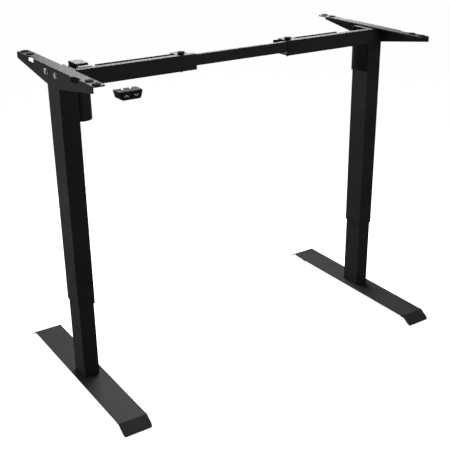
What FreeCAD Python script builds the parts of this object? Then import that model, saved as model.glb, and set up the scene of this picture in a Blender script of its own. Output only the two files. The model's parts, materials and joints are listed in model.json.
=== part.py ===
"""Height adjustable desk frame: two telescopic columns on sheet-metal feet, joined by a crossbar of
adjustable width, with one motor, a drive shaft, brackets for a tabletop and a two-button handset.

Millimetres, +Z up, +X to the right, -Y to the user. The origin is on the floor, midway between the columns.
Pieces that the two legs share are made for the right leg and mirrored for the left one.
"""
import FreeCAD, Part
import math
import os
from FreeCAD import Vector

# Driving dimensions
leg_x = 475.0            # column axis from the middle of the desk
foot_y = 5.0             # middle of the foot, behind the column axis
foot_width = 78.0
foot_flat = 540.0        # length of the level top of the foot
foot_length = 602.0      # between the lower ends of the two slopes
foot_top = 23.0
foot_tip = 3.0           # top edge of the sheet at the end of a slope
foot_sheet = 2.5
skirt_depth = 8.0
skirt_inset = 5.0        # how far the skirts lean in
glide_y = 245.0          # levelling glides, from the middle of the foot

outer_size = (47.0, 69.0)
outer_wall = 1.5
outer_corner = 2.5
outer_bottom = 238.0
outer_top = 807.0
inner_size = (42.0, 64.0)
inner_wall = 2.0
inner_corner = 2.2
inner_top = 650.0
slide_gap = 0.05         # clearance of every sliding or turning fit

shaft_z = 827.0          # axis of the cross shaft
screw_radius = 7.0
screw_bottom = 180.0
bevel_distance = 13.0    # from the meeting point of two bevel gears to the back of each

sheet = 2.0              # crossbar and column head sheet
plate_sheet = 1.6        # thin plates on the inner face of a column
rail_bottom = 806.0
rail_top = 846.0
rail_front = -38.5
rail_back = 29.0
rail_lip = 17.0
rail_back_top = 838.0
left_rail_end = -130.0   # inner ends of the two crossbar channels
right_rail_end = 155.0
left_rail_back_end = -376.0
right_rail_back_end = 380.0
bar_ends = (-300.0, 325.0)
bar_bottom = 815.5
bar_lip = 9.5
bar_back_height = 14.0
bar_gap = 0.2
clamp_x = 166.0
clamp_y = -23.0
screw_y = -29.0          # screws under the crossbar

bracket_half = 221.0
bracket_sheet = 3.0
bracket_top = 850.5
bracket_flange = 32.0
bracket_end_depth = 15.5
web_flat = 40.0          # half of the level lower edge of the web
pad_x = 482.0
pad_offsets = (172.0, 208.0)
pad_top = 853.0
notch_y = 131.0

motor_x, motor_y = -422.5, 29.0
motor_radius = 27.0
motor_bottom = 709.0
box_bottom = 802.0       # worm gearbox
box_split = 838.0        # joint between the gearbox and its hood
box_top = 852.0
hood_front = -6.0
hood_back = 42.0
cap_top = 847.5          # silver cap over the worm wheel, in front of the hood

handset_x = -449.5
handset_front = -305.0
handset_depth = 30.0
handset_top = 853.0
handset_height = 19.0
button_half_pitch = 11.5
button_travel = 0.8

X, Y, Z = Vector(1, 0, 0), Vector(0, 1, 0), Vector(0, 0, 1)


# Basic shapes
def box(x0, x1, y0, y1, z0, z1):
    return Part.makeBox(x1 - x0, y1 - y0, z1 - z0, Vector(x0, y0, z0))


def round_edges(shape, radius, axis):
    """Fillets every straight edge that runs along axis."""
    picked = []
    for edge in shape.Edges:
        along = edge.Vertexes[-1].Point - edge.Vertexes[0].Point
        if along.Length > 1e-6 and abs(along.normalize().dot(axis)) > 0.999:
            picked.append(edge)
    return shape.makeFillet(radius, picked)


def rounded_box(x0, x1, y0, y1, z0, z1, radius, axis=Z):
    return round_edges(box(x0, x1, y0, y1, z0, z1), radius, axis)


def centred_prism(size, centre, z0, z1, radius):
    """Upright rounded rectangle about a centre line."""
    half_x, half_y = size[0] / 2, size[1] / 2
    return rounded_box(centre[0] - half_x, centre[0] + half_x, centre[1] - half_y, centre[1] + half_y,
                       z0, z1, radius)


def cylinder(radius, start, end):
    along = end - start
    return Part.makeCylinder(radius, along.Length, start, along)


def prism(points, along):
    """Solid swept from a closed outline."""
    return Part.Face(Part.makePolygon(points + [points[0]])).extrude(along)


def hexagon_prism(across_flats, start, along):
    radius = across_flats / math.sqrt(3)
    side = Y if abs(along.dot(Y)) < 1e-6 else X
    up = along.cross(side).normalize()
    points = []
    for step in range(6):
        angle = math.radians(60 * step)
        points.append(start + side * (radius * math.cos(angle)) + up * (radius * math.sin(angle)))
    return prism(points, along)


def union(*shapes):
    result = shapes[0]
    if len(shapes) > 1:
        result = result.fuse(list(shapes[1:]))
    return result.removeSplitter()


def mirrored(shape):
    return shape.mirror(Vector(0, 0, 0), X)


def at(x=0.0, y=0.0, z=0.0):
    return Vector(x, y, z)


# Foot
def foot_end_plate(side):
    """Bent end of the foot's top sheet: a short level strip, then the slope down."""
    flat, tip = foot_flat / 2, foot_length / 2
    drop = foot_top - foot_tip
    run = tip - flat
    slope = math.hypot(run, drop)
    inward = Vector(0, -drop, -run) * (foot_sheet / slope)
    under = foot_top - foot_sheet
    knee = flat + inward.y + (inward.z + foot_sheet) * run / drop
    outline = [at(y=flat - 8, z=foot_top), at(y=flat, z=foot_top), at(y=tip, z=foot_tip),
               at(y=tip, z=foot_tip) + inward, at(y=knee, z=under), at(y=flat - 8, z=under)]
    points = [at(leg_x - foot_width / 2, foot_y + side * p.y, p.z) for p in outline]
    return prism(points, X * foot_width)


def foot_profile():
    """Section of the foot: a level top with a small bend and a leaning skirt on each side."""
    half = foot_width / 2
    bend = 1.5
    bottom = foot_top - skirt_depth
    outer = [(half - bend, foot_top), (half - 0.4, foot_top - 0.5), (half, foot_top - bend),
             (half - skirt_inset, bottom)]
    under = foot_top - foot_sheet
    inner = [(half - skirt_inset - foot_sheet, bottom), (half - foot_sheet - 1, under)]
    side = outer + inner
    return [at(x, 0, z) for x, z in side] + [at(-x, 0, z) for x, z in reversed(side)]


def foot():
    half = foot_width / 2
    plan_corner = 8.0
    flat = foot_flat / 2 - 8
    outline = [at(leg_x + p.x, foot_y - flat, p.z) for p in foot_profile()]
    body = union(prism(outline, Y * (2 * flat)), foot_end_plate(1), foot_end_plate(-1))
    tip = foot_length / 2
    plan = rounded_box(leg_x - half, leg_x + half, foot_y - tip, foot_y + tip, -5, 40, plan_corner)
    body = body.common(plan)
    nuts = []
    for side in (-1, 1):
        centre = at(leg_x, foot_y + side * glide_y, foot_top - foot_sheet - 7)
        nuts.append(hexagon_prism(13, centre, Z * 7))
    body = union(body, *nuts)
    for side in (-1, 1):
        centre = at(leg_x, foot_y + side * glide_y, 0)
        body = body.cut(cylinder(4 + slide_gap, centre, centre + Z * (foot_top - foot_sheet)))
    for point in foot_bolt_points():
        body = body.cut(cylinder(3.3, point, point + Z * 30))
    return body


def foot_bolt_points():
    return [at(leg_x + i * 11, j * 22, 0) for i in (-1, 1) for j in (-1, 1)]


def foot_bolts():
    """Socket screws up through the foot into the column's end plate."""
    bolts = []
    under = foot_top - foot_sheet
    for point in foot_bolt_points():
        head = cylinder(5.5, point + Z * (under - 4.5), point + Z * under)
        shank = cylinder(3, point + Z * (under - 1), point + Z * (foot_top + 8))
        socket = hexagon_prism(4, point + Z * (under - 4.5), Z * 2.5)
        bolts.append(union(head, shank).cut(socket))
    return bolts


def glide(side):
    """Levelling glide: a plastic foot moulded on an M8 stud."""
    base = at(leg_x, foot_y + side * glide_y, 0)
    pad = union(cylinder(17, base, base + Z * 4), Part.makeCone(17, 9, 4, base + Z * 4, Z))
    stud = cylinder(4, base + Z * 7, base + Z * (foot_top - foot_sheet - 0.3))
    return union(pad, stud)


# Column
def inner_tube():
    centre = (leg_x, 0)
    hollow_size = (inner_size[0] - 2 * inner_wall, inner_size[1] - 2 * inner_wall)
    tube = centred_prism(inner_size, centre, foot_top, inner_top, inner_corner)
    tube = tube.cut(centred_prism(hollow_size, centre, foot_top + 6, inner_top + 1, inner_corner - 1.4))
    for point in foot_bolt_points():
        tube = tube.cut(cylinder(3.05, point, point + Z * (foot_top + 8)))
    return tube


def lift_nut():
    """Nut block held in the top of the inner tube; the lead screw runs in it."""
    size = (inner_size[0] - 2 * inner_wall - 0.1, inner_size[1] - 2 * inner_wall - 0.1)
    block = centred_prism(size, (leg_x, 0), inner_top - 30, inner_top, inner_corner - 1.2)
    flange = centred_prism((inner_size[0], inner_size[1]), (leg_x, 0), inner_top, inner_top + 2, inner_corner)
    return union(block, flange).cut(cylinder(screw_radius + slide_gap, at(leg_x), at(leg_x, 0, 900)))


def slide_ring(z0, z1):
    """Plastic sleeve between the two tubes."""
    outer = (outer_size[0] - 2 * outer_wall - 2 * slide_gap, outer_size[1] - 2 * outer_wall - 2 * slide_gap)
    inner = (inner_size[0] + 2 * slide_gap, inner_size[1] + 2 * slide_gap)
    ring = centred_prism(outer, (leg_x, 0), z0, z1, outer_corner - 1.2)
    return ring.cut(centred_prism(inner, (leg_x, 0), z0 - 1, z1 + 1, inner_corner - 0.1))


def inner_guide():
    return slide_ring(inner_top - 50, inner_top)


def lower_bush():
    rim = centred_prism(outer_size, (leg_x, 0), outer_bottom - 1.2, outer_bottom, outer_corner)
    inner = (inner_size[0] + 2 * slide_gap, inner_size[1] + 2 * slide_gap)
    rim = rim.cut(centred_prism(inner, (leg_x, 0), outer_bottom - 2, outer_bottom + 1, inner_corner - 0.1))
    bush = union(rim, slide_ring(outer_bottom, outer_bottom + 42))
    return bush.cut(pan_screw_hole(1.6))


def outer_tube():
    centre = (leg_x, 0)
    hollow_size = (outer_size[0] - 2 * outer_wall, outer_size[1] - 2 * outer_wall)
    tube = centred_prism(outer_size, centre, outer_bottom, outer_top, outer_corner)
    tube = tube.cut(centred_prism(hollow_size, centre, outer_bottom - 1, outer_top + 1, outer_corner - 1.5))
    return tube.cut(pan_screw_hole(2.1))


# Screws of the frame
bush_screw = at(leg_x, -outer_size[1] / 2, 254)


def pan_screw_hole(radius):
    return cylinder(radius, bush_screw - Y, bush_screw + Y * 3.2)


def pan_screw(point, into, length):
    """M4 pan-head screw: the head stands on the face, and the shank runs along into."""
    head = cylinder(3.5, point - into * 1.8, point)
    shank = cylinder(1.5, point - into * 0.5, point + into * length)
    slot = hexagon_prism(2.5, point - into * 1.8, into * 1.2)
    return union(head, shank).cut(slot)


# Crossbar
def channel(end, back_end, outer_end):
    """U-shaped rail, open on top, with a lip along the front wall and a tab for the clamp knob.
    Made for the right side; end is its inner end, and outer_end meets the bracket."""
    inside = leg_x - outer_size[0] / 2 - sheet
    tab_back = 11.0
    front = box(end, outer_end, rail_front, rail_front + sheet, rail_bottom, rail_top)
    lip = box(end, inside, rail_front, rail_front + rail_lip, rail_top - sheet, rail_top)
    strip = box(end, inside, rail_front, rail_front + rail_lip, rail_bottom, rail_bottom + sheet)
    floor = box(end, back_end, rail_front, rail_back, rail_bottom, rail_bottom + sheet)
    back = box(end, back_end, rail_back - sheet, rail_back, rail_bottom, rail_back_top)
    tab = rounded_box(clamp_x - 10, clamp_x + 32, rail_front + 5, tab_back, rail_top - sheet, rail_top, 4)
    if end < clamp_x - 20:
        tab = rounded_box(clamp_x - 22, clamp_x + 14, rail_front + 5, tab_back, rail_top - sheet, rail_top, 4)
    body = union(front, lip, strip, floor, back, tab)
    top = at(clamp_x, clamp_y, rail_top + 1)
    body = body.cut(cylinder(2.6, at(clamp_x, clamp_y, 790), top))
    for point in channel_screw_points(end):
        body = body.cut(cylinder(2.1, point - Z, point + Z * 5))
    return body


def channel_screw_points(end):
    first = 12 if end < clamp_x - 20 else 73
    return [at(end + first, screw_y, rail_bottom), at(end + 175, screw_y, rail_bottom)]


def channel_screws(end):
    """Screws up through the floor of the channel, which hold the slide strip under the bar."""
    return [pan_screw(point, Z, 6) for point in channel_screw_points(end)]


def slide_strip(end, back_end):
    """Plastic strip on the floor of a channel that the centre bar slides on."""
    strip = box(end + 2, back_end - 4, -34, 24, rail_bottom + sheet, bar_bottom - bar_gap)
    for point in channel_screw_points(end):
        strip = strip.cut(cylinder(1.6, point, point + Z * 8))
    return strip.cut(cylinder(3, at(clamp_x, clamp_y, 800), at(clamp_x, clamp_y, 820)))


def center_bar():
    """Inner rail that slides in both channels: front web, top lip, floor and a low back edge."""
    x0, x1 = bar_ends
    front = rail_front + sheet + bar_gap
    back = rail_back - sheet - bar_gap
    top = rail_top - sheet - bar_gap
    web = box(x0, x1, front, front + sheet, bar_bottom, top)
    lip = box(x0, x1, front, front + bar_lip, top - sheet, top)
    floor = box(x0, x1, front, back, bar_bottom, bar_bottom + sheet)
    edge = box(x0, x1, back - sheet, back, bar_bottom, bar_bottom + bar_back_height)
    body = union(web, lip, floor, edge)
    for slot_x0, slot_x1 in ((-283, -99), (122, 280)):
        body = body.cut(rounded_box(slot_x0, slot_x1, clamp_y - 3, clamp_y + 3, 810, 820, 2.9))
    return body


def clamp_knob():
    """Thumb screw through the tab and the bar's slot into the floor of the channel."""
    top = at(clamp_x, clamp_y, rail_top)
    head = union(cylinder(9, top + Z * 1.5, top + Z * 6.7), cylinder(5, top + Z * 0.05, top + Z * 1.5))
    for step in range(12):
        angle = math.radians(30 * step)
        edge = top + at(9.6 * math.cos(angle), 9.6 * math.sin(angle), 1)
        head = head.cut(cylinder(1.3, edge, edge + Z * 6))
    stud = cylinder(2.5, at(clamp_x, clamp_y, rail_bottom - 5), top + Z * 2)
    return union(head, stud)


# Column head, bracket and pads
def column_head():
    """Folded sheet over the top of the column, which joins it to the bracket and the crossbar."""
    face = outer_size[1] / 2
    outer = leg_x + outer_size[0] / 2 - bracket_sheet
    inner = leg_x - 13
    front = rounded_box(inner, outer, -face - sheet, -face, 782, rail_top, 0.9, Z)
    lip_x = leg_x - outer_size[0] / 2 - plate_sheet
    back = box(lip_x, outer, face, face + sheet, 722, rail_top - sheet)
    lip_outline = [at(lip_x, face + sheet, 716), at(lip_x, face - 8, 722),
                   at(lip_x, face - 8, 800), at(lip_x, face + sheet, 800)]
    lip = prism(lip_outline, X * plate_sheet)
    side = box(outer - sheet, outer, -face - sheet, face + sheet, outer_top + 1, rail_top)
    roof = box(leg_x - outer_size[0] / 2, outer, -face - sheet, face + sheet, rail_top - sheet, rail_top)
    body = union(front, back, lip, side, roof)
    for point in bracket_bolt_points():
        body = body.cut(cylinder(4.2, point - X * 20, point + X * 5))
    return body


def bracket_bolt_points():
    return [at(leg_x + outer_size[0] / 2, y, 837) for y in (-28.5, 28.5)]


def bracket():
    """Bent plate: a tapered web flush with the column and a flange under the tabletop."""
    outer = leg_x + outer_size[0] / 2
    end_z = bracket_top - bracket_end_depth
    outline = [at(outer, -bracket_half, bracket_top), at(outer, -bracket_half, end_z),
               at(outer, -web_flat, outer_top), at(outer, web_flat, outer_top),
               at(outer, bracket_half, end_z), at(outer, bracket_half, bracket_top)]
    web = prism([p - X * bracket_sheet for p in outline], X * bracket_sheet)
    flange = rounded_box(outer - bracket_flange, outer, -bracket_half, bracket_half,
                         bracket_top - bracket_sheet, bracket_top, 5)
    web_box = box(outer - bracket_sheet, outer, -bracket_half, bracket_half, bracket_top - 10, bracket_top)
    body = union(web, flange, web_box)
    bend = []
    for edge in body.Edges:
        box_of = edge.BoundBox
        if box_of.XMin > outer - 0.01 and box_of.ZMin > bracket_top - 0.01 and box_of.YLength > 100:
            bend.append(edge)
    body = body.makeFillet(2.5, bend)
    for side in (-1, 1):
        y = side * notch_y
        body = body.cut(rounded_box(outer - 9, outer + 9, y - 19, y + 19, 840, 860, 8))
        body = body.cut(rounded_box(outer - 5, outer + 5, y - 19, y + 19, bracket_top - 8, 875, 7.9, X))
    for point in bracket_bolt_points():
        body = body.cut(cylinder(4.2, point - X * 10, point + X * 5))
    for y in pad_positions():
        body = body.cut(cylinder(6, at(pad_x, y, 840), at(pad_x, y, 860)))
    return body


def bracket_bolts():
    """M8 hexagon bolts and nuts that fasten the bracket to the column head."""
    pieces = []
    thread_end = leg_x + outer_size[0] / 2 - bracket_sheet - sheet
    for point in bracket_bolt_points():
        washer = cylinder(7.5, point, point + X * 1.2)
        head = hexagon_prism(13, point + X * 1.2, X * 4)
        shank = cylinder(4, at(thread_end - 7, point.y, point.z), point + X * 2)
        nut_start = at(thread_end - 5.5, point.y, point.z)
        nut = hexagon_prism(10, nut_start, X * 5.5)
        pieces.append(union(washer, head, shank, nut))
    return pieces


def pad_positions():
    return [side * offset for side in (-1, 1) for offset in pad_offsets]


def pads():
    """Rubber grommets in the flange: the tabletop rests on them, and its screws pass through them."""
    rings = []
    for y in pad_positions():
        cap = cylinder(9.5, at(pad_x, y, bracket_top), at(pad_x, y, pad_top))
        neck = cylinder(6, at(pad_x, y, bracket_top - bracket_sheet), at(pad_x, y, bracket_top))
        lower = cylinder(8, at(pad_x, y, bracket_top - bracket_sheet - 1.5),
                         at(pad_x, y, bracket_top - bracket_sheet))
        bore = cylinder(3.25, at(pad_x, y, 830), at(pad_x, y, 870))
        rings.append(union(cap, neck, lower).cut(bore))
    return rings


# Drive train
def gear_case():
    """Cast case on top of the column, for the two bevel gears and the screw's bearing."""
    plug_size = (outer_size[0] - 2 * outer_wall - 0.1, outer_size[1] - 2 * outer_wall - 0.1)
    plug = centred_prism(plug_size, (leg_x, 0), 788, outer_top, outer_corner - 1.3)
    outer = leg_x + outer_size[0] / 2 - bracket_sheet - sheet - 1
    inner = leg_x - outer_size[0] / 2
    case = box(inner, outer, -20, 20, outer_top, rail_top - sheet)
    tongue = rounded_box(inner - plate_sheet, inner, -31, 18, 724, 840, 7, X)
    body = union(plug, case, tongue)
    body = body.cut(box(leg_x - 19, outer - 2.5, -15, 15, 811, rail_top))
    body = body.cut(cylinder(15 + slide_gap, at(leg_x, 0, 796), at(leg_x, 0, 812)))
    body = body.cut(cylinder(screw_radius + 1, at(leg_x, 0, 780), at(leg_x, 0, 800)))
    return body.cut(cylinder(8 + slide_gap, at(leg_x - 27, 0, shaft_z), at(leg_x - 10, 0, shaft_z)))


def screw_bearing():
    """Ball bearing in the gear case: two rings and the balls between them."""
    def ring(outer, inner):
        solid = cylinder(outer, at(leg_x, 0, 797), at(leg_x, 0, 806))
        return solid.cut(cylinder(inner, at(leg_x, 0, 790), at(leg_x, 0, 810)))
    pieces = [ring(15, 12.2), ring(9.6, screw_radius + slide_gap)]
    for step in range(9):
        angle = math.radians(40 * step)
        ball = Part.makeSphere(1.25, at(leg_x + 10.9 * math.cos(angle), 10.9 * math.sin(angle), 801.5))
        pieces.append(ball)
    return pieces


def lead_screw():
    shoulder = shaft_z - bevel_distance - 2.5
    shaft = cylinder(screw_radius, at(leg_x, 0, screw_bottom), at(leg_x, 0, shoulder))
    spigot = cylinder(screw_radius - 3.05, at(leg_x, 0, shoulder), at(leg_x, 0, shoulder + 7))
    tip = Part.makeCone(screw_radius - 2, screw_radius, 4, at(leg_x, 0, screw_bottom - 4), Z)
    return union(shaft, spigot, tip)


def bevel_gear(apex, along, bore):
    """Straight bevel gear whose pitch cone points at apex; along runs from its back to the apex."""
    face = 6.0
    big = bevel_distance - 0.4
    small = big - face
    back = apex - along * bevel_distance
    cone = Part.makeCone(big, small, face, back, along)
    hub = cylinder(8, back - along * 2.5, back)
    gear = union(hub, cone)
    side = Y
    other = along.cross(side)
    teeth = 16
    for step in range(teeth):
        angle = 2 * math.pi * (step + 0.5) / teeth
        radial = side * math.cos(angle) + other * math.sin(angle)
        across = along.cross(radial)
        outline = [back + radial * (big - 2.2) - along * 0.1, back + radial * (big + 1.5) - along * 0.1,
                   back + radial * (small + 1.5) + along * (face + 0.1),
                   back + radial * (small - 1.1) + along * (face + 0.1)]
        outline = [p - across * 0.9 for p in outline]
        gear = gear.cut(prism(outline, across * 1.8))
    return gear.cut(cylinder(bore, back - along * 5, back + along * 10))


def screw_bevel():
    return bevel_gear(at(leg_x, 0, shaft_z), Z, screw_radius - 3)


def shaft_bevel():
    return bevel_gear(at(leg_x, 0, shaft_z), X, 5.9)


def drive_rod():
    """Hexagon rod on the right leg's pinion, which slides in the drive tube."""
    rod = hexagon_prism(10, at(-160, 0, shaft_z), X * (leg_x - bevel_distance + 5 + 160))
    collar = cylinder(8, at(leg_x - 32, 0, shaft_z), at(leg_x - bevel_distance - 2.5, 0, shaft_z))
    return union(rod, collar)


def drive_tube():
    """Round tube with a hexagon bore, driven by the worm wheel and turning the left pinion."""
    start = -(leg_x - bevel_distance - 2.5)
    tube = cylinder(8, at(start, 0, shaft_z), at(120, 0, shaft_z))
    spigot = cylinder(5.85, at(start - 8, 0, shaft_z), at(start, 0, shaft_z))
    bore = hexagon_prism(10.2, at(-280, 0, shaft_z), X * 410)
    return union(tube, spigot).cut(bore)


def worm_wheel():
    """Plastic wheel on the drive tube, beside the worm."""
    radius, width, teeth = 18.0, 12.0, 24
    start = at(motor_x - width / 2, 0, shaft_z)
    wheel = cylinder(radius, start, start + X * width)
    for step in range(teeth):
        angle = 2 * math.pi * step / teeth
        radial = Y * math.cos(angle) + Z * math.sin(angle)
        across = X.cross(radial)
        points = [start + radial * (radius + 1) - across * 1.6, start + radial * (radius + 1) + across * 1.6,
                  start + radial * (radius - 2.6) + across * 0.7, start + radial * (radius - 2.6) - across * 0.7]
        wheel = wheel.cut(prism([p - X * 1 for p in points], X * (width + 2)))
    return wheel.cut(cylinder(8 + 0.02, start - X * 2, start + X * (width + 2)))


def motor_rotor():
    """Armature, commutator and worm on one shaft."""
    base = at(motor_x, motor_y)
    shaft = cylinder(4, base + Z * (motor_bottom + 5), base + Z * (box_split - 1))
    core = cylinder(18, base + Z * 735, base + Z * 785)
    for step in range(10):
        angle = math.radians(36 * step)
        slot = base + at(17.2 * math.cos(angle), 17.2 * math.sin(angle), 734)
        core = core.cut(cylinder(2.2, slot, slot + Z * 52))
    commutator = cylinder(9, base + Z * 787, base + Z * 796)
    worm = cylinder(7.6, base + Z * 816, base + Z * (box_split - 1))
    ridges = []
    for step in range(4):
        z = 818 + 5 * step
        ridges.append(Part.makeCone(7.6, 10.4, 1.2, base + Z * z, Z))
        ridges.append(Part.makeCone(10.4, 7.6, 1.2, base + Z * (z + 1.2), Z))
    return union(shaft, core, commutator, worm, *ridges)


def motor_case():
    base = at(motor_x, motor_y)
    can = cylinder(motor_radius, base + Z * (motor_bottom + 4), base + Z * box_bottom)
    return can.cut(cylinder(motor_radius - 1.5, base + Z * (motor_bottom + 3), base + Z * (box_bottom - 3))) \
              .cut(cylinder(10, base + Z * 780, base + Z * 810))


def motor_end_cap():
    """Plastic cap at the bottom of the motor, with the rotor's bearing and the cable's inlet."""
    base = at(motor_x, motor_y)
    flange = cylinder(motor_radius, base + Z * motor_bottom, base + Z * (motor_bottom + 4))
    flange = flange.makeFillet(1.5, [flange.Edges[2]])
    plug = cylinder(motor_radius - 1.6, base + Z * (motor_bottom + 3.5), base + Z * (motor_bottom + 9))
    cap = union(flange, plug)
    cap = cap.cut(cylinder(4 + slide_gap, base + Z * (motor_bottom + 3), base + Z * 730))
    inlet = base + at(-8, 18, 0)
    return cap.cut(box(inlet.x - 5, inlet.x + 5, inlet.y - 3, inlet.y + 3, 700, motor_bottom + 7))


def gearbox_outline():
    """Limits in X and Y of the worm gearbox."""
    inner = -leg_x + outer_size[0] / 2 + plate_sheet
    return inner, motor_x + 28, rail_front + rail_lip + 0.5, motor_y + 19


def gearbox_rooms():
    """Space for the worm wheel and the worm, and the bores for the shafts."""
    wheel = cylinder(18.7, at(motor_x - 7, 0, shaft_z), at(motor_x + 7, 0, shaft_z))
    channel_box = box(motor_x - 7, motor_x + 7, 0, 26, 812, box_split)
    worm = cylinder(12, at(motor_x, motor_y, 808), at(motor_x, motor_y, box_split))
    rotor = cylinder(4 + slide_gap, at(motor_x, motor_y, 800), at(motor_x, motor_y, 820))
    shaft = cylinder(8 + slide_gap, at(motor_x - 40, 0, shaft_z), at(motor_x + 40, 0, shaft_z))
    return union(wheel, channel_box, worm, rotor, shaft)


def gearbox_housing():
    """Cast worm gearbox on top of the motor; the cross shaft passes through it."""
    x0, x1, y0, y1 = gearbox_outline()
    body = rounded_box(x0, x1, y0, y1, box_bottom, box_split, 6).cut(gearbox_rooms())
    for point in gearbox_screw_points():
        body = body.cut(cylinder(1.6, point - Z * 12, point + Z))
    return body


def gearbox_screw_points():
    x0, x1, y0, y1 = gearbox_outline()
    return [at(x, y, box_split) for x in (x0 + 6, x1 - 6) for y in (y0 + 6, y1 - 7)]


def gearbox_cover():
    """Flange, a low cap over the worm wheel, and the hood behind it."""
    x0, x1, y0, y1 = gearbox_outline()
    flange = rounded_box(x0, x1, y0, y1, box_split, box_split + 2.4, 6)
    cap = rounded_box(motor_x - 16, motor_x + 18, y0 + 1, hood_front + 8, box_split, cap_top, 1.5)
    hood = box(motor_x - 16, motor_x + 14, hood_front, hood_back, box_split, box_top)
    front_edge = [e for e in hood.Edges if e.BoundBox.YMax < hood_front + 0.1 and e.BoundBox.ZMin > box_top - 0.1]
    hood = hood.makeFillet(4, front_edge)
    rest = [e for e in hood.Edges if e.BoundBox.YMin > hood_back - 0.1 and e.BoundBox.ZMin > box_top - 0.1]
    hood = hood.makeFillet(2.5, rest)
    cover = union(flange, cap, hood).cut(gearbox_rooms())
    cover = cover.cut(box(motor_x - 7, motor_x + 7, -19, 20, box_split - 1, box_split + 7.7))
    for point in gearbox_screw_points():
        cover = cover.cut(cylinder(1.6, point - Z, point + Z * 5))
    return cover


def gearbox_screws():
    return [pan_screw(point + Z * 2.4, -Z, 9) for point in gearbox_screw_points()]


# Handset
def handset_outline(shrink, y):
    """Front view of the handset: wide at the tabletop, narrower below."""
    half_top, half_bottom = 27.0 - shrink, 22.5 - shrink
    top = handset_top - 2
    bottom = handset_top - handset_height + shrink
    return [at(handset_x - half_top, y, top), at(handset_x - half_bottom, y, bottom),
            at(handset_x + half_bottom, y, bottom), at(handset_x + half_top, y, top)]


def handset_case():
    wall = 1.8
    solid = prism(handset_outline(0, handset_front), Y * handset_depth)
    low = [e for e in solid.Edges if e.BoundBox.ZMax < handset_top - 17 and e.BoundBox.YLength > 20]
    solid = solid.makeFillet(5.5, low)
    hollow = prism(handset_outline(wall, handset_front + wall), Y * (handset_depth - 2 * wall))
    lift = Vector(0, 0, 1)
    hollow = hollow.fuse(hollow.translated(lift))
    solid = solid.cut(hollow)
    for point in handset_screw_points():
        post = cylinder(3, at(point.x, point.y, handset_top - handset_height + 1), point - Z * 2)
        solid = union(solid, post).cut(cylinder(1.1, point - Z * 11, point))
    for side in (-1, 1):
        solid = solid.cut(button_shape(side, 0.15, handset_front - 2, handset_front + 3))
    socket_z = handset_top - 9
    return solid.cut(box(handset_x - 4, handset_x + 4, handset_front + handset_depth - 3,
                         handset_front + handset_depth + 1, socket_z - 2.5, socket_z + 2.5))


def handset_screw_points():
    return [at(handset_x + i * 9.5, handset_front + handset_depth - 8, handset_top) for i in (-1, 1)]


def handset_cover():
    plate = rounded_box(handset_x - 27, handset_x + 27, handset_front, handset_front + handset_depth,
                        handset_top - 2, handset_top - 0.6, 1.5)
    for point in handset_screw_points():
        plate = plate.cut(cylinder(1.1, point - Z * 5, point + Z))
    return plate


def handset_screws():
    screws = []
    for point in handset_screw_points():
        head = cylinder(2.2, point - Z * 0.6, point)
        shank = cylinder(1.05, point - Z * 8, point - Z * 0.3)
        screws.append(union(head, shank).cut(hexagon_prism(1.5, point - Z * 0.4, Z)))
    return screws


def handset_board():
    """Circuit board behind the buttons, with two push switches and a cable header."""
    y = handset_front + 7.5
    board = box(handset_x - 17, handset_x + 17, y, y + 1.6, handset_top - 16, handset_top - 4)
    parts = [board]
    for side in (-1, 1):
        centre = at(handset_x + side * button_half_pitch, y - 2.2, handset_top - 10)
        parts.append(box(centre.x - 3, centre.x + 3, centre.y, y, centre.z - 3, centre.z + 3))
    parts.append(box(handset_x - 3, handset_x + 3, y + 1.6, y + 5, handset_top - 12, handset_top - 7))
    return union(*parts)


def button_shape(side, grow, y0, y1):
    centre_x = handset_x + side * button_half_pitch
    centre_z = handset_top - 10
    return rounded_box(centre_x - 7.5 - grow, centre_x + 7.5 + grow, y0, y1,
                       centre_z - 4.5 - grow, centre_z + 4.5 + grow, 2, Y)


def button(side):
    cap = button_shape(side, 0, handset_front - 1, handset_front + 2.6)
    centre = at(handset_x + side * button_half_pitch, handset_front + 2, handset_top - 10)
    stem = cylinder(1.6, centre, centre + Y * 2.4)
    return union(cap, stem)


# The list of nodes
def shared_nodes():
    """Pieces that both legs have, as made for the right leg."""
    return {
        "foot": foot(), "foot_bolts": foot_bolts(), "front_glide": glide(-1), "rear_glide": glide(1),
        "inner_tube": inner_tube(), "lift_nut": lift_nut(), "inner_guide": inner_guide(),
        "lower_bush": lower_bush(), "outer_tube": outer_tube(), "column_head": column_head(),
        "bracket": bracket(), "bracket_bolts": bracket_bolts(), "pads": pads(),
        "gear_case": gear_case(), "screw_bearing": screw_bearing(), "lead_screw": lead_screw(),
        "screw_bevel": screw_bevel(), "shaft_bevel": shaft_bevel(), "clamp_knob": clamp_knob(),
    }


def crossbar_nodes():
    outer_end = leg_x + outer_size[0] / 2 - bracket_sheet
    bush_screw_solid = pan_screw(bush_screw, Y, 2.2)
    left_end, left_back = -left_rail_end, -left_rail_back_end
    right = channel_screws(right_rail_end) + [bush_screw_solid]
    left = [mirrored(s) for s in channel_screws(left_end) + [bush_screw_solid]]
    return {
        "left_channel": mirrored(channel(left_end, left_back, outer_end)),
        "right_channel": channel(right_rail_end, right_rail_back_end, outer_end),
        "left_slide_strip": mirrored(slide_strip(left_end, left_back)),
        "right_slide_strip": slide_strip(right_rail_end, right_rail_back_end),
        "left_frame_screws": left, "right_frame_screws": right, "center_bar": center_bar(),
    }


def drive_nodes():
    return {
        "drive_rod": drive_rod(), "drive_tube": drive_tube(), "worm_wheel": worm_wheel(),
        "motor_rotor": motor_rotor(), "motor_case": motor_case(), "motor_end_cap": motor_end_cap(),
        "gearbox_housing": gearbox_housing(), "gearbox_cover": gearbox_cover(),
        "gearbox_screws": gearbox_screws(),
    }


def handset_nodes():
    return {
        "handset_case": handset_case(), "handset_cover": handset_cover(),
        "handset_screws": handset_screws(), "handset_board": handset_board(),
        "up_button": button(-1), "down_button": button(1),
    }


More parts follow.
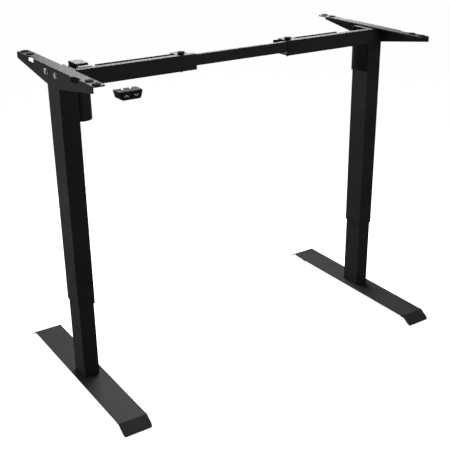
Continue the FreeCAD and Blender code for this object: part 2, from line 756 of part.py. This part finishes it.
def write(name, shape):
    """Writes one node; a list is a group of separate solids."""
    solids = []
    for item in shape if isinstance(shape, list) else [shape]:
        solids += item.Solids
    for solid in solids:
        if not solid.isValid():
            print("not valid:", name)
    whole = solids[0] if len(solids) == 1 else Part.makeCompound(solids)
    whole.exportStep(os.path.join("parts", name + ".step"))
    print(f"{name:22s} {len(solids):3d} solids {sum(s.Volume for s in solids) / 1000:10.2f} cm3")


def main():
    os.makedirs("parts", exist_ok=True)
    nodes = {}
    for name, shape in shared_nodes().items():
        nodes["right_" + name] = shape
        nodes["left_" + name] = [mirrored(s) for s in shape] if isinstance(shape, list) else mirrored(shape)
    nodes.update(crossbar_nodes())
    nodes.update(drive_nodes())
    nodes.update(handset_nodes())
    for name, shape in sorted(nodes.items()):
        write(name, shape)
    print(len(nodes), "nodes")


main()
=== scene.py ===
"""Looks of the height adjustable desk frame. Metres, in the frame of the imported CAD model."""
import json

import bmesh
import bpy
from mathutils import Matrix, Vector


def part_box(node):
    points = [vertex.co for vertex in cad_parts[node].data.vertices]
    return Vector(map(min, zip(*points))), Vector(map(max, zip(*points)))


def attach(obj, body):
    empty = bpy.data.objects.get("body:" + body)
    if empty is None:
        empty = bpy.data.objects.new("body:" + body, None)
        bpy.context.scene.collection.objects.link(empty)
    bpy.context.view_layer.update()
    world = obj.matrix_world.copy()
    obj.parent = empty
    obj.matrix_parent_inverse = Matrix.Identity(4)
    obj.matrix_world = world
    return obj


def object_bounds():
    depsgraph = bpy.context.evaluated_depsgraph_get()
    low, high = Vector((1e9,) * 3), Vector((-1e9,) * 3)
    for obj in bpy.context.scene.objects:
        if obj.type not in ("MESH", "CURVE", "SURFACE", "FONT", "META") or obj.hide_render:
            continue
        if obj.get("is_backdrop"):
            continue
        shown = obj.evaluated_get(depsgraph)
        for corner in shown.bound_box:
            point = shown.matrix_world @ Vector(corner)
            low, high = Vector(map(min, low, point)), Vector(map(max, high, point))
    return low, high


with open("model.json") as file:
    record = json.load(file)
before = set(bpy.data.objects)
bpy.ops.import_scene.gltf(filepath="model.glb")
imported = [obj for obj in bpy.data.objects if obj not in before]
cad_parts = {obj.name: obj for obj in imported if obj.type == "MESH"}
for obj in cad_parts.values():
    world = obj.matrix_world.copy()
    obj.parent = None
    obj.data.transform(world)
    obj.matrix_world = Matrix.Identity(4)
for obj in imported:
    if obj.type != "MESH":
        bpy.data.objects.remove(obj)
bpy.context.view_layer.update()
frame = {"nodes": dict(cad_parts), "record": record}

nodes = frame["nodes"]
slot_of = {s["node"]: s["material_slot"] for s in frame["record"]["subparts"]}


# Materials: every one is made of shader nodes, in object coordinates
class Maker:
    """Builds one node material; each method adds a node and returns its output socket."""

    def __init__(self, name):
        self.material = bpy.data.materials.new(name)
        self.material.use_nodes = True
        self.tree = self.material.node_tree
        self.shader = self.tree.nodes["Principled BSDF"]
        coordinates = self.tree.nodes.new("ShaderNodeTexCoord")
        self.position = coordinates.outputs["Object"]

    def put(self, value, socket):
        if isinstance(value, bpy.types.NodeSocket):
            self.tree.links.new(value, socket)
        else:
            socket.default_value = value

    def noise(self, scale, detail=3.0, stretch=(1, 1, 1), rough=0.5):
        mapping = self.tree.nodes.new("ShaderNodeMapping")
        self.put(self.position, mapping.inputs["Vector"])
        self.put(stretch, mapping.inputs["Scale"])
        node = self.tree.nodes.new("ShaderNodeTexNoise")
        self.put(mapping.outputs["Vector"], node.inputs["Vector"])
        self.put(scale, node.inputs["Scale"])
        self.put(detail, node.inputs["Detail"])
        self.put(rough, node.inputs["Roughness"])
        return node.outputs["Fac"]

    def cells(self, scale):
        node = self.tree.nodes.new("ShaderNodeTexVoronoi")
        self.put(self.position, node.inputs["Vector"])
        self.put(scale, node.inputs["Scale"])
        return node.outputs["Distance"]

    def remap(self, value, low, high, to_low, to_high):
        node = self.tree.nodes.new("ShaderNodeMapRange")
        for socket, number in zip(("Value", "From Min", "From Max", "To Min", "To Max"),
                                  (value, low, high, to_low, to_high)):
            self.put(number, node.inputs[socket])
        return node.outputs["Result"]

    def blend(self, factor, first, second):
        node = self.tree.nodes.new("ShaderNodeMix")
        node.data_type = "RGBA"
        colours = [s for s in node.inputs if s.type == "RGBA"]
        self.put(factor, node.inputs["Factor"])
        self.put(first, colours[0])
        self.put(second, colours[1])
        return [s for s in node.outputs if s.type == "RGBA"][0]

    def product(self, first, second):
        node = self.tree.nodes.new("ShaderNodeMath")
        node.operation = "MULTIPLY"
        self.put(first, node.inputs[0])
        self.put(second, node.inputs[1])
        return node.outputs["Value"]

    def edge_highlight_mask(self, radius):
        """About 1 on sharp edges and 0 on flat faces."""
        bevel = self.tree.nodes.new("ShaderNodeBevel")
        bevel.samples = 4
        self.put(radius, bevel.inputs["Radius"])
        geometry = self.tree.nodes.new("ShaderNodeNewGeometry")
        dot = self.tree.nodes.new("ShaderNodeVectorMath")
        dot.operation = "DOT_PRODUCT"
        self.put(bevel.outputs["Normal"], dot.inputs[0])
        self.put(geometry.outputs["Normal"], dot.inputs[1])
        return self.remap(dot.outputs["Value"], 0.99, 0.8, 0.0, 1.0)

    def relief(self, height, strength, distance, rounding):
        """Rounds the edges and adds a fine bump."""
        bevel = self.tree.nodes.new("ShaderNodeBevel")
        bevel.samples = 6
        self.put(rounding, bevel.inputs["Radius"])
        bump = self.tree.nodes.new("ShaderNodeBump")
        self.put(strength, bump.inputs["Strength"])
        self.put(distance, bump.inputs["Distance"])
        self.put(height, bump.inputs["Height"])
        self.put(bevel.outputs["Normal"], bump.inputs["Normal"])
        self.put(bump.outputs["Normal"], self.shader.inputs["Normal"])

    def finish(self, colour, roughness, metallic=0.0, specular=0.5):
        self.put(colour, self.shader.inputs["Base Color"])
        self.put(roughness, self.shader.inputs["Roughness"])
        self.put(metallic, self.shader.inputs["Metallic"])
        self.put(specular, self.shader.inputs["Specular IOR Level"])
        return self.material


def grey(value, warm=0.0):
    return (value * (1 + warm), value, value * (1 - warm), 1.0)


def powder_coat(name, value, roughness=0.5, specular=0.5):
    """Fine textured powder coat, with the edges painted a little brighter as a highlight."""
    m = Maker(name)
    grain = m.noise(2600, 2.0)
    orange_peel = m.noise(420, 3.0)
    cloud = m.noise(9, 4.0)
    base = m.blend(m.remap(cloud, 0.35, 0.65, 0, 1), grey(value * 0.88), grey(value * 1.12))
    speck = m.blend(m.remap(grain, 0.62, 0.74, 0, 0.5), base, grey(value * 2.2))
    # Painted highlight: sharp edges are blended towards a colour 2.6 times lighter.
    colour = m.blend(m.product(m.edge_highlight_mask(0.0012), 0.35), speck, grey(value * 2.6))
    height = m.blend(0.35, grain, orange_peel)
    m.relief(height, 0.14, 0.0002, 0.0008)
    rough = m.remap(orange_peel, 0.3, 0.7, roughness - 0.06, roughness + 0.08)
    return m.finish(colour, rough, 0.0, specular)


def plastic(name, colour, roughness=0.5, texture=3000, edge=0.0008, specular=0.5):
    """Moulded plastic with a spark-eroded grain."""
    m = Maker(name)
    grain = m.cells(texture)
    cloud = m.noise(25, 3.0)
    dark = tuple(0.82 * c for c in colour) + (1.0,)
    light = tuple(1.15 * c for c in colour) + (1.0,)
    m.relief(grain, 0.3, 0.00015, edge)
    rough = m.remap(cloud, 0.3, 0.7, roughness - 0.06, roughness + 0.08)
    return m.finish(m.blend(m.remap(cloud, 0.3, 0.7, 0, 1), dark, light), rough, 0.0, specular)


def rubber(name, value):
    m = Maker(name)
    dust = m.noise(160, 4.0)
    fine = m.noise(1800, 2.0)
    colour = m.blend(m.remap(dust, 0.45, 0.75, 0, 0.6), grey(value), grey(value * 2.4, 0.03))
    m.relief(fine, 0.4, 0.0002, 0.0008)
    return m.finish(colour, m.remap(dust, 0.3, 0.7, 0.78, 0.92), 0.0, 0.12)


def metal(name, colour, roughness=0.3, stretch=(1, 1, 30), edge_highlight_strength=0.4, metallic=1.0):
    """Bare or plated metal with drawing lines along one axis and a painted highlight on the edges.
    """
    m = Maker(name)
    lines = m.noise(900, 3.0, stretch)
    blotch = m.noise(120, 4.0)
    dark = tuple(0.7 * c for c in colour) + (1.0,)
    light = tuple(min(1.0, 1.15 * c) for c in colour) + (1.0,)
    base = m.blend(m.remap(blotch, 0.3, 0.7, 0, 1), dark, light)
    # Painted highlight: sharp edges are blended towards the lighter colour.
    bright = m.blend(m.product(m.edge_highlight_mask(0.0006), edge_highlight_strength), base, light)
    m.relief(lines, 0.15, 0.0001, 0.0004)
    rough = m.remap(blotch, 0.3, 0.7, roughness - 0.08, roughness + 0.12)
    return m.finish(bright, rough, metallic)


def circuit(name):
    """Green solder mask with paler tracks."""
    m = Maker(name)
    tracks = m.cells(420)
    mask = m.blend(m.remap(tracks, 0.45, 0.5, 0, 1), (0.01, 0.09, 0.03, 1), (0.03, 0.2, 0.07, 1))
    m.relief(tracks, 0.2, 0.0001, 0.0003)
    return m.finish(mask, m.remap(tracks, 0.2, 0.6, 0.25, 0.4))


def two_tone(name, dark, bright, split_y, split_z):
    """Bare casting whose hood, behind split_y and above split_z, is coated black."""
    m = Maker(name)
    axes = m.tree.nodes.new("ShaderNodeSeparateXYZ")
    m.put(m.position, axes.inputs[0])
    blur = 0.0001
    behind = m.remap(axes.outputs["Y"], split_y - blur, split_y + blur, 0.0, 1.0)
    above = m.remap(axes.outputs["Z"], split_z - blur, split_z + blur, 0.0, 1.0)
    hood = m.product(behind, above)
    grain = m.noise(700, 3.0)
    casting = m.blend(m.remap(grain, 0.35, 0.65, 0, 1), grey(bright * 0.8), grey(bright))
    m.relief(grain, 0.25, 0.0002, 0.0006)
    rough = m.remap(grain, 0.3, 0.7, 0.45, 0.62)
    return m.finish(m.blend(hood, casting, grey(dark)), rough, 0.0, 0.12)


materials = {
    "black_steel": powder_coat("black_powder_coat", 0.024, 0.64, 0.2),
    "motor_black": powder_coat("motor_enamel", 0.018, 0.42, 0.4),
    # Nearly black die casting: its darkness is partly painted shade, matching the crossbar's
    # shadow on the gear case.
    "cast_metal": powder_coat("die_casting_with_painted_shade", 0.006, 0.7, 0.05),
    "black_oxide": powder_coat("black_oxide", 0.012, 0.5, 0.3),
    "black_plastic": plastic("black_plastic", (0.013, 0.013, 0.0135), 0.75, specular=0.04),
    "button_grey": plastic("button_plastic", (0.026, 0.026, 0.028), 0.6, 3600, 0.0006, 0.16),
    "nylon": plastic("natural_nylon", (0.66, 0.64, 0.58), 0.45, 1800),
    "black_rubber": rubber("black_rubber", 0.008),
    "zinc_steel": metal("zinc_plate", (0.86, 0.86, 0.84), 0.36, (1, 1, 1), metallic=0.7),
    "bright_steel": metal("drawn_steel", (0.56, 0.56, 0.55), 0.26, (30, 1, 1)),
    "brass": metal("brass", (0.78, 0.58, 0.27), 0.3, (1, 1, 30)),
    "green_board": circuit("circuit_board"),
}
print_grey = plastic("symbol_print", (0.84, 0.84, 0.82), 0.5, 4000, 0.0002)
handset_plastic = plastic("handset_plastic", (0.02, 0.02, 0.021), 0.7, specular=0.06)

hood_front, hood_foot = -0.0061, 0.8405     # where the black hood starts on the gearbox cover
hooded_casting = two_tone("hooded_casting", 0.014, 0.5, hood_front, hood_foot)


def material_for(name):
    """Material of a CAD node: its own, or the one of its slot in the record."""
    if name in ("handset_case", "handset_cover"):
        return handset_plastic
    if name == "gearbox_cover":
        return hooded_casting
    return materials[slot_of[name]]


for name, obj in nodes.items():
    for slot in obj.material_slots:
        slot.material = material_for(name)


# Visual pieces
def mesh_object(name, bm, material):
    mesh = bpy.data.meshes.new(name)
    bm.normal_update()
    bm.to_mesh(mesh)
    bm.free()
    obj = bpy.data.objects.new(name, mesh)
    bpy.context.scene.collection.objects.link(obj)
    mesh.materials.append(material)
    return obj


def chevron(name, centre, up, body):
    """Raised arrow mark on a button."""
    width, height, stroke, proud = 0.0047, 0.0036, 0.0018, 0.00012
    sign = 1 if up else -1
    outline = [(-width, -height / 2), (0, height / 2), (width, -height / 2),
               (width, -height / 2 - stroke * 1.3), (0, height / 2 - stroke * 1.3),
               (-width, -height / 2 - stroke * 1.3)]
    outline = [(u, (v + stroke * 0.65) * sign) for u, v in outline]
    if not up:
        outline.reverse()
    bm = bmesh.new()
    x, y, z = centre
    near = [bm.verts.new((x + u, y - proud, z + v)) for u, v in outline]
    far = [bm.verts.new((x + u, y + 0.0002, z + v)) for u, v in outline]
    bm.faces.new(near)
    bm.faces.new(list(reversed(far)))
    for i in range(len(near)):
        j = (i + 1) % len(near)
        bm.faces.new((near[j], near[i], far[i], far[j]))
    obj = mesh_object(name, bm, print_grey)
    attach(obj, body)
    return obj


for side, is_up in (("up", True), ("down", False)):
    low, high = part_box(side + "_button")
    middle = ((low[0] + high[0]) / 2, low[1], (low[2] + high[2]) / 2)
    chevron(side + "_mark", middle, is_up, side + "_button")


# Stage: pale floor, white surroundings and soft light from above
def plain(name, colour, seen, shade):
    """Stage material: the camera sees it nearly white, and it gives little light to the object."""
    material = bpy.data.materials.new(name)
    material.use_nodes = True
    tree = material.node_tree
    tree.nodes.clear()
    output = tree.nodes.new("ShaderNodeOutputMaterial")
    mix = tree.nodes.new("ShaderNodeMixShader")
    path = tree.nodes.new("ShaderNodeLightPath")
    diffuse = tree.nodes.new("ShaderNodeBsdfDiffuse")
    glow = tree.nodes.new("ShaderNodeEmission")
    add = tree.nodes.new("ShaderNodeAddShader")
    diffuse.inputs["Color"].default_value = colour
    glow.inputs["Color"].default_value = (1, 1, 1, 1)
    glow.inputs["Strength"].default_value = seen
    dim = tree.nodes.new("ShaderNodeBsdfDiffuse")
    dim.inputs["Color"].default_value = shade
    tree.links.new(diffuse.outputs[0], add.inputs[0])
    tree.links.new(glow.outputs[0], add.inputs[1])
    tree.links.new(path.outputs["Is Camera Ray"], mix.inputs["Fac"])
    tree.links.new(dim.outputs[0], mix.inputs[1])
    tree.links.new(add.outputs[0], mix.inputs[2])
    tree.links.new(mix.outputs[0], output.inputs["Surface"])
    return material


floor_size = 30.0
floor_drop = -0.0002         # keeps the floor just under the glides
half = floor_size / 2
corners = [(-half, -half, 0), (half, -half, 0), (half, half, 0), (-half, half, 0)]
floor_mesh = bpy.data.meshes.new("floor")
floor_mesh.from_pydata(corners, [], [(0, 1, 2, 3)])
floor = bpy.data.objects.new("floor", floor_mesh)
floor.location = (0, 0, floor_drop)
bpy.context.scene.collection.objects.link(floor)
floor_glow = 0.94            # how white the camera sees the floor
floor_mesh.materials.append(plain("pale_floor", grey(0.8), floor_glow, grey(0.22)))
floor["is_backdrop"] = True


def area_light(name, power, size, location, target, size_y=None):
    """Soft rectangular light of the given power in watts, aimed at target."""
    data = bpy.data.lights.new(name, "AREA")
    data.energy = power
    data.shape = "RECTANGLE"
    data.size = size
    data.size_y = size_y or size
    light = bpy.data.objects.new(name, data)
    light.location = location
    direction = Vector(target) - Vector(location)
    light.rotation_mode = "QUATERNION"
    light.rotation_quaternion = direction.to_track_quat("-Z", "Y")
    bpy.context.scene.collection.objects.link(light)


area_light("top_light", 40, 1.2, (0.45, 0.80, 1.38), (0.1, 0.1, 0.75), 0.9)
area_light("left_light", 5.0, 0.8, (-1.25, 0.25, 0.66), (-0.5, 0.0, 0.5))
area_light("front_fill", 5.0, 0.9, (0.35, -1.25, 1.25), (0.1, 0.0, 0.85), 0.6)

ambient = 0.06               # light from all around on the object
background = 1.0             # white that the camera sees
world = bpy.data.worlds.new("studio")
world.use_nodes = True
bpy.context.scene.world = world
world_tree = world.node_tree
world_tree.nodes.clear()
world_out = world_tree.nodes.new("ShaderNodeOutputWorld")
world_mix = world_tree.nodes.new("ShaderNodeMixShader")
world_path = world_tree.nodes.new("ShaderNodeLightPath")
world_light = world_tree.nodes.new("ShaderNodeBackground")
world_seen = world_tree.nodes.new("ShaderNodeBackground")
world_light.inputs["Color"].default_value = (1, 1, 1, 1)
world_light.inputs["Strength"].default_value = ambient
world_seen.inputs["Color"].default_value = (1, 1, 1, 1)
world_seen.inputs["Strength"].default_value = background
world_tree.links.new(world_path.outputs["Is Camera Ray"], world_mix.inputs["Fac"])
world_tree.links.new(world_light.outputs[0], world_mix.inputs[1])
world_tree.links.new(world_seen.outputs[0], world_mix.inputs[2])
world_tree.links.new(world_mix.outputs[0], world_out.inputs["Surface"])

bpy.context.scene.view_settings.view_transform = "Standard"

# Camera
camera_data = bpy.data.cameras.new("camera")
camera_data.lens = 68.2
camera_data.sensor_width = 36
camera_data.shift_x = -0.0603
camera_data.shift_y = -0.005
camera_data.clip_start = 0.05
camera_data.clip_end = 100
camera = bpy.data.objects.new("camera", camera_data)
camera_place = (-1.22577, -1.86885, 1.28996)
view_direction = Vector((0.52323, 0.75731, -0.39079))
right = Vector((0.82275, -0.56841, 0)).normalized()
back = -view_direction.normalized()
up = back.cross(right)
turn = Matrix((right, up, back)).transposed().to_4x4()
camera.matrix_world = Matrix.Translation(camera_place) @ turn
bpy.context.scene.collection.objects.link(camera)
bpy.context.scene.camera = camera

low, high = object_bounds()
